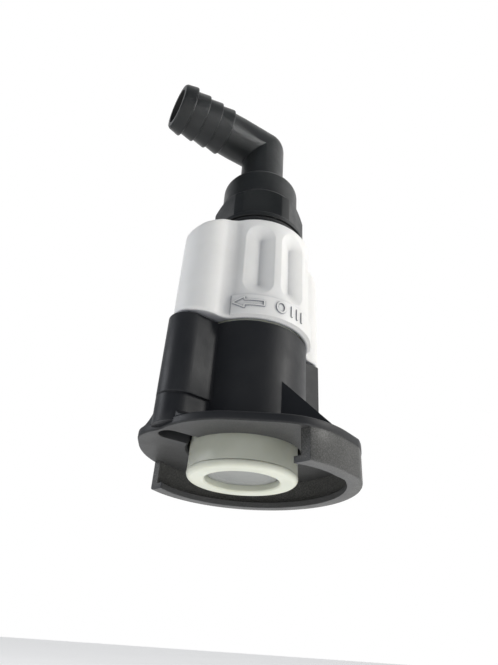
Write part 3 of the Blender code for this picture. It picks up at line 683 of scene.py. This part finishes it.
def on_band(name, outline):
    """Raised flat mark on the band; outline is (distance round the band, height) in mm."""
    bm = bmesh.new()
    fine = []
    for i, point in enumerate(outline):
        a, b = Vector(point), Vector(outline[(i + 1) % len(outline)])
        steps = max(1, int((b - a).length / 0.6))
        fine += [a + (b - a) * k / steps for k in range(steps)]
    flat = [bm.verts.new((p.x, p.y, 0.0)) for p in fine]
    face = bm.faces.new(flat)
    bmesh.ops.triangulate(bm, faces=[face])
    grown = bmesh.ops.extrude_face_region(bm, geom=list(bm.faces))
    for vert in [item for item in grown["geom"] if isinstance(item, bmesh.types.BMVert)]:
        vert.co.z = 1.0
    for vert in bm.verts:
        angle = vert.co.x / MARK_R
        reach = MARK_R - 0.2 + (MARK_PROUD + 0.2) * vert.co.z
        height = vert.co.y
        vert.co = Vector((reach * math.cos(angle), reach * math.sin(angle), height)) * MM
    return from_bmesh(name, bm)


def bar(x0, z0, x1, z1, width):
    """Four corners of a straight stroke."""
    a, b = Vector((x0, z0)), Vector((x1, z1))
    side = (b - a).normalized() * width / 2
    side = Vector((-side.y, side.x))
    return [tuple(a + side), tuple(a - side), tuple(b - side), tuple(b + side)]


def ring_strokes(x, z, outer, width):
    """Short strokes that make a ring mark."""
    strokes = []
    count = 14
    for k in range(count):
        a, b = 2 * math.pi * k / count, 2 * math.pi * (k + 1.15) / count
        radius = outer - width / 2
        strokes.append(bar(x + radius * math.cos(a) * 0.8, z + radius * math.sin(a),
                           x + radius * math.cos(b) * 0.8, z + radius * math.sin(b), width))
    return strokes


def mark_strokes():
    """Outline arrow, ring and three bars, from left to right on the band."""
    tip = math.radians(-109.0) * MARK_R
    head, end = tip + 4.2, tip + 11.2
    strokes = [bar(tip, MARK_Z, tip + 4.4, MARK_Z + 2.3, 0.5),
               bar(tip, MARK_Z, tip + 4.4, MARK_Z - 2.3, 0.5),
               bar(head, MARK_Z + 2.3, head, MARK_Z + 0.9, 0.5),
               bar(head, MARK_Z - 2.3, head, MARK_Z - 0.9, 0.5),
               bar(head, MARK_Z + 1.0, tip + 11.4, MARK_Z + 1.0, 0.45),
               bar(head, MARK_Z - 1.0, tip + 11.4, MARK_Z - 1.0, 0.45),
               bar(end, MARK_Z + 1.2, end, MARK_Z - 1.2, 0.5)]
    start = tip + 17.5
    strokes += ring_strokes(start, MARK_Z, 2.4, 0.6)
    for k in range(3):
        x = start + 4.6 + 2.6 * k
        strokes.append(bar(x, MARK_Z + 2.2, x, MARK_Z - 2.2, 0.6))
    return strokes


def build_direction_mark():
    bm = bmesh.new()
    for index, stroke in enumerate(mark_strokes()):
        raised = on_band("stroke_%d" % index, stroke)
        bm.from_mesh(raised.data)
        bpy.data.objects.remove(raised, do_unlink=True)
    return from_bmesh("collar_direction_mark", bm)


place(build_collar(), "collar", white, ["collar"], 50.0)
place(build_direction_mark(), "collar", white)


# ---------------------------------------------------------------- probe
def groove(radius, height, depth=1.5, width=2.7):
    half = width / 2
    return [(radius, height + half), (radius - depth, height + half),
            (radius - depth, height - half), (radius, height - half)]


def build_probe_sleeve():
    tube = [(PROBE_R, 47.1)] + groove(PROBE_R, 0.5) + groove(PROBE_R, -4.5)
    tube += [(PROBE_R, HEAD_TOP), (HEAD_R, HEAD_TOP), (HEAD_R + 0.25, NOSE_TOP + 0.12),
             (CHAMBER_R, NOSE_TOP + 0.12), (CHAMBER_R, -31.0), (PROBE_BORE_R, -31.0),
             (PROBE_BORE_R, 47.1)]
    holes = []
    for index, angle in enumerate(PIN_ANGLES):
        bm = bmesh.new()
        bmesh.ops.create_cone(bm, cap_ends=True, segments=32, radius1=PIN_HOLE_R * MM,
                              radius2=PIN_HOLE_R * MM, depth=5.1 * MM)
        spin = (Matrix.Rotation(angle, 4, "Z") @ Matrix.Translation((15.45 * MM, 0.0, PIN_Z * MM))
                @ Matrix.Rotation(math.pi / 2, 4, "Y"))
        bmesh.ops.transform(bm, matrix=spin, verts=bm.verts)
        holes.append(from_bmesh("pin_hole_%d" % index, bm))
    return combine(turned("probe_sleeve", tube, 0.12), cut=holes)


def build_probe_nose():
    """Ring that closes the head, with a groove for its O-ring and a round lower edge."""
    outer, inner = CHAMBER_R - 0.3, DISC_R + 0.3
    nose = [(outer, -43.8), (outer, -45.0), (14.9, -45.0), (14.9, -46.6), (outer, -46.6),
            (outer, NOSE_TOP), (NOSE_R - 0.1, NOSE_TOP)]
    nose += arc((NOSE_R - 1.8, NOSE_BOTTOM + 1.8), 1.8, 0.1, -math.pi / 2, 12)
    nose += [(MOUTH_R + 0.5, NOSE_BOTTOM), (MOUTH_R, NOSE_BOTTOM + 0.5),
             (MOUTH_R, VALVE_FACE + 0.6), (inner, VALVE_FACE + 0.6), (inner, -43.8)]
    return turned("probe_nose", nose, 0.15)


def build_valve_plate():
    waist, lip = DISC_R - 0.4, MOUTH_R - 0.4
    disc = [(0.0, DISC_TOP), (DISC_R, DISC_TOP), (DISC_R, VALVE_FACE + 1.3),
            (waist, VALVE_FACE + 1.3), (waist, VALVE_FACE + 2.1), (lip, VALVE_FACE + 2.1),
            (lip, VALVE_FACE), (9.2, VALVE_FACE), (8.8, VALVE_FACE + 0.25),
            (0.0, VALVE_FACE + 0.25)]
    return turned("valve_plate", disc, 0.2)


def build_washer(name, outer, low, high, edge):
    return turned(name, [(outer, high), (outer, low), (LOCK_BORE_R, low), (LOCK_BORE_R, high)],
                  edge)


place(build_probe_sleeve(), "probe", ivory, ["probe_tube"])
place(build_probe_nose(), "probe", ivory, ["probe_nose_ring"])
place(build_valve_plate(), "valve", disc_grey, ["valve_disc"])
place(build_washer("lock_ring", FLANGE_R, 47.4, 50.1, 0.4), "probe",
      elbow_black, ["elbow_lock_ring"])
place(build_washer("gasket", FLANGE_R - 0.6, 50.4, 51.1, 0.2), "probe",
      rubber, ["elbow_gasket"])


def build_spring():
    """Coil between the disc and the guide's seat."""
    low, high = DISC_TOP + 0.9, -33.6 - 0.9
    count, sides = 360, 12
    bm = bmesh.new()
    rings = []
    for i in range(count + 1):
        t = i / count
        angle = 2 * math.pi * SPRING_TURNS * t
        height = low + (high - low) * t
        ring = []
        for k in range(sides):
            a = 2 * math.pi * k / sides
            reach = SPRING_R + SPRING_WIRE_R * math.cos(a)
            ring.append(bm.verts.new((reach * math.cos(angle) * MM, reach * math.sin(angle) * MM,
                                      (height + SPRING_WIRE_R * math.sin(a)) * MM)))
        rings.append(ring)
    for lower, upper in zip(rings, rings[1:]):
        for k in range(sides):
            n = (k + 1) % sides
            bm.faces.new((lower[k], lower[n], upper[n], upper[k]))
    bm.faces.new(rings[0])
    bm.faces.new(rings[-1])
    return from_bmesh("valve_coil", bm)


# the disc's 5 mm of lift presses the coil against the guide's seat, to half its height; here the
# coil only gets a mesh of its own and is not squashed
coil = place(build_spring(), "probe", steel, ["valve_spring"])
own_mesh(coil)


# ---------------------------------------------------------------- elbow
def lay_tail(piece):
    """Turns an upright piece into the tail's direction at the bend."""
    piece.data.transform(Matrix.Translation((0.0, 0.0, TAIL_Z * MM))
                         @ Matrix.Rotation(TAIL_ANGLE, 4, "Z")
                         @ Matrix.Rotation(math.pi / 2, 4, "Y"))
    return piece


def build_elbow():
    shoulder = [(0.0, 82.0)] + arc((14.3, 79.6), 2.4, math.pi / 2, 0.0, 12)
    shoulder += [(16.7, 53.4), (FLANGE_R, 53.4), (FLANGE_R, 51.4), (SPIGOT_R, 51.4)]
    shoulder += groove(SPIGOT_R, 38.2, 1.3, 2.1) + [(SPIGOT_R, 35.0), (0.0, 35.0)]
    elbow = turned("elbow_fitting", shoulder, 0.25)
    corner = 17.8 / math.cos(math.pi / 6)
    flats = fillet([polar(corner, math.radians(3.0) + i * math.pi / 3) for i in range(6)], 0.8)
    cone = turned("cone", [(0.0, 70.4), (15.8, 70.4), (19.5, 65.2), (19.5, 40.0),
                           (0.0, 40.0)], 0.0)
    hexagon = combine(prism("hexagon", flats, 53.1, 69.4), kept=[cone])
    stub = turned("stub", arc((0.0, TAIL_Z), STUB_R + 0.02, math.pi / 2, 0.0, 20)
                  + [(STUB_R, 83.2), (STUB_R + 1.0, 82.1), (STUB_R + 1.0, 79.0),
                     (0.0, 79.0)], 0.0)
    outer = [(0.0, TAIL_LENGTH), (9.8, TAIL_LENGTH), (10.4, TAIL_LENGTH - 0.7)]
    for index, crest_r in enumerate((11.4, 10.9, 10.9, 10.9)):
        crest = TAIL_LENGTH - 5.5 - index * BARB_PITCH
        outer += [(crest_r, crest + 0.5), (crest_r, crest), (9.9, crest - 0.35)]
    outer += [(STUB_R + 0.1, TAIL_LENGTH - 5.5 - 4 * BARB_PITCH), (STUB_R, -0.12),
              (0.0, -0.12)]
    tail = lay_tail(turned("tail", outer, 0.18))
    bore_up = turned("bore_up", arc((0.0, TAIL_Z), FLOW_R + 0.02, math.pi / 2, 0.0, 14)
                     + [(FLOW_R, 30.0), (0.0, 30.0)], 0.0, 96)
    beyond = TAIL_LENGTH + 2.0
    bore_out = lay_tail(turned("bore_out", [(0.0, beyond), (FLOW_R, beyond), (FLOW_R, -0.12),
                                            (0.0, -0.12)], 0.0, 96))
    return combine(elbow, joined=[hexagon, stub, tail], cut=[bore_up, bore_out])


place(build_elbow(), "probe", elbow_black, ["elbow"])


# ---------------------------------------------------------------- stage, light and camera
def floor_material():
    made = bpy.data.materials.new("pale_floor")
    made.use_nodes = True
    tree = made.node_tree
    shader = tree.nodes["Principled BSDF"]
    shader.inputs["Roughness"].default_value = 0.8
    where = tree.nodes.new("ShaderNodeTexCoord").outputs["Object"]
    clouds = node(tree, "TexNoise", {"Scale": 8.0, "Detail": 3.0})
    tree.links.new(where, clouds.inputs["Vector"])
    tone = ramp(tree, clouds.outputs["Fac"], [(0.3, grey(0.86)), (0.7, grey(0.9))])
    tree.links.new(tone, shader.inputs["Base Color"])
    shader.inputs["Emission Color"].default_value = (1.0, 1.0, 1.0, 1.0)
    shader.inputs["Emission Strength"].default_value = 0.17
    return made


def build_floor():
    bm = bmesh.new()
    bmesh.ops.create_grid(bm, x_segments=8, y_segments=8, size=1.6)
    floor = from_bmesh("floor", bm)
    floor.location.z = FLOOR_Z
    floor.data.materials.append(floor_material())
    return floor


build_floor()


def light_world():
    """Light from the back right and above; the camera itself sees plain white."""
    world = bpy.data.worlds.new("studio")
    bpy.context.scene.world = world
    world.use_nodes = True
    sky = world.node_tree
    toward = node(sky, "VectorMath", operation="DOT_PRODUCT")
    toward.inputs[1].default_value = Vector((0.42, 0.74, 0.52)).normalized()
    sky.links.new(sky.nodes.new("ShaderNodeTexCoord").outputs["Generated"], toward.inputs[0])
    bright = node(sky, "MapRange", {"From Min": 0.1, "From Max": 0.64})
    sky.links.new(toward.outputs["Value"], bright.inputs["Value"])
    tint = ramp(sky, bright.outputs["Result"], [(0.0, (0.11, 0.125, 0.15)), (1.0, grey(1.0))])
    to_camera = sky.nodes.new("ShaderNodeLightPath").outputs["Is Camera Ray"]
    seen = mix(sky, to_camera, tint, (1.0, 1.0, 1.0, 1.0))
    sky.links.new(seen, sky.nodes["Background"].inputs["Color"])


light_world()


def area_light(name, spot, energy, size, colour=(1.0, 1.0, 1.0), aim=(0.0, 0.0, 0.07),
               spread=180.0):
    """Square light at spot that points at aim; metres, watts and degrees."""
    data = bpy.data.lights.new(name, "AREA")
    data.spread = math.radians(spread)
    data.energy = energy
    data.size = size
    data.color = colour
    lamp = new_object(name, data)
    lamp.location = spot
    lamp.visible_camera = False
    lamp.rotation_euler = (Vector(spot) - Vector(aim)).to_track_quat("Z", "Y").to_euler()


area_light("key", (0.50, -0.17, 0.30), 1.05, 0.07, (1.0, 0.985, 0.95))
area_light("bounce", (0.30, -0.10, -0.06), 0.25, 0.20, (1.0, 0.98, 0.95))
area_light("left", (-0.52, -0.08, 0.20), 0.88, 0.18, (0.94, 0.96, 1.0))
area_light("front", (-0.12, -0.52, 0.05), 0.12, 0.25, (0.92, 0.95, 1.0))
area_light("elbow_glint", (0.40, -0.37, 0.12), 0.016, 0.08, aim=(-0.012, -0.010, 0.165),
           spread=16.0)
area_light("below", (0.02, 0.01, -0.070), 0.07, 0.14, aim=(0.02, 0.01, 0.0))

camera = new_object("camera", bpy.data.cameras.new("camera"))
camera.data.sensor_width = 36.0
camera.data.lens = 36.0 * 500.0 / 665.0
camera.data.clip_start = 0.005
camera.location = (-0.000983, -0.164606, -0.094118 + LIFT * MM)
camera.rotation_euler = Euler([math.radians(angle) for angle in (121.8054, -3.3703, -2.0880)])
bpy.context.scene.camera = camera
bpy.context.scene.view_settings.view_transform = "Standard"
